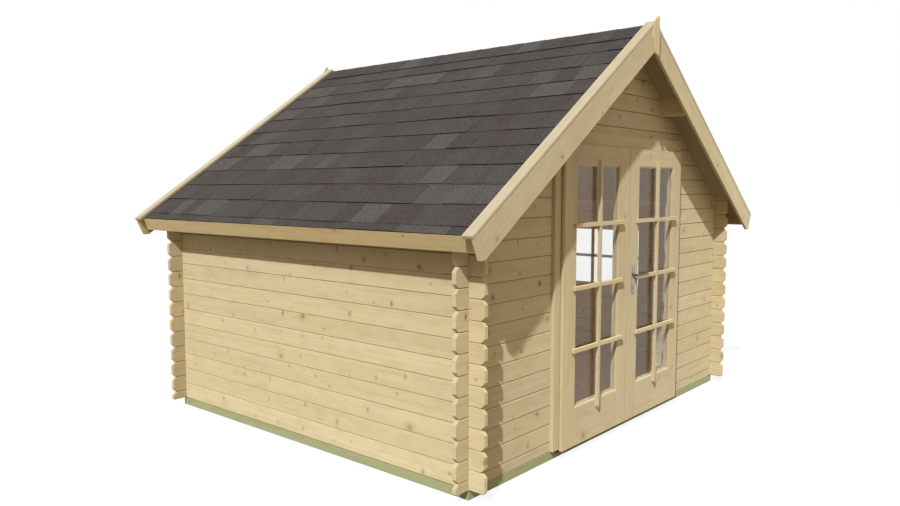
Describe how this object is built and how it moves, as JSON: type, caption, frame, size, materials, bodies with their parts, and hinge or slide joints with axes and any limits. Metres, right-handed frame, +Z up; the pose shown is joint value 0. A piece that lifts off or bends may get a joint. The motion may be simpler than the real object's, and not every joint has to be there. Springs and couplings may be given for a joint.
{
  "type": "log cabin",
  "caption": "Gable-roofed garden log cabin with glazed double doors in front, a side window and a shingled roof.",
  "frame": {"origin": "On the ground, under the middle of the cabin's overall length, depth and height box", "axes": "+X to the right along the front wall, +Y from the front wall towards the rear, +Z up"},
  "size_m": [3.7786, 3.28, 2.7531],
  "materials": {
    "treated_beams": "matt green-tinted pressure treated softwood",
    "floor_boards": "matt planed pine boards",
    "wall_logs": "matt planed pine",
    "roof_boards": "matt planed pine boards",
    "shingles": "matt bitumen with mineral granules",
    "roof_trim": "matt planed pine",
    "door_timber": "matt planed pine",
    "glazing": "clear",
    "steel": "satin"
  },
  "bodies": {
    "cabin": {"foundation_ends": "treated_beams", "foundation_sides": "treated_beams", "floor_joists": "treated_beams", "floor_deck": "floor_boards", "left_wall": "wall_logs", "right_wall_front": "wall_logs", "right_wall_rear": "wall_logs", "right_wall_below_window": "wall_logs", "right_wall_over_window": "wall_logs", "rear_wall": "wall_logs", "front_wall_left": "wall_logs", "front_wall_right": "wall_logs", "front_wall_over_door": "wall_logs", "front_gable": "wall_logs", "purlin_left": "wall_logs", "purlin_right": "wall_logs", "ridge_purlin": "wall_logs", "roof_boards_left": "roof_boards", "roof_boards_right": "roof_boards", "shingles_left": "shingles", "shingles_right": "shingles", "ridge_shingles": "shingles", "barge_front_left": "roof_trim", "barge_front_right": "roof_trim", "barge_rear_left": "roof_trim", "barge_rear_right": "roof_trim", "cap_front_left": "roof_trim", "cap_front_right": "roof_trim", "cap_rear_left": "roof_trim", "cap_rear_right": "roof_trim", "finials": "roof_trim", "fascia_left": "roof_trim", "fascia_right": "roof_trim", "door_jamb_left": "door_timber", "door_jamb_right": "door_timber", "door_head": "door_timber", "door_threshold": "door_timber", "window_frame": "door_timber", "window_sash": "door_timber", "window_glass": "glazing", "pivot_plates": "steel"},
    "left_leaf": {"door_leaf_left": "door_timber", "door_glass_left": "glazing"},
    "right_leaf": {"door_leaf_right": "door_timber", "door_glass_right": "glazing", "lock_plates": "steel"},
    "lever": {"door_lever": "steel"}
  },
  "joints": [
    {"name": "left_door", "type": "hinge", "parent": "cabin", "child": "left_leaf", "pos_m": [-0.803, -1.4435, 0.98], "axis": [0, 0, -1], "range_deg": [0, 105]},
    {"name": "right_door", "type": "hinge", "parent": "cabin", "child": "right_leaf", "pos_m": [0.803, -1.4435, 0.98], "axis": [0, 0, 1], "range_deg": [0, 105]},
    {"name": "lever_turn", "type": "hinge", "parent": "right_leaf", "child": "lever", "pos_m": [0.071, -1.43, 1.057], "axis": [0, 1, 0], "range_deg": [0, 40], "stiffness_Nm_per_rad": 2, "springref_deg": -8.59}
  ]
}
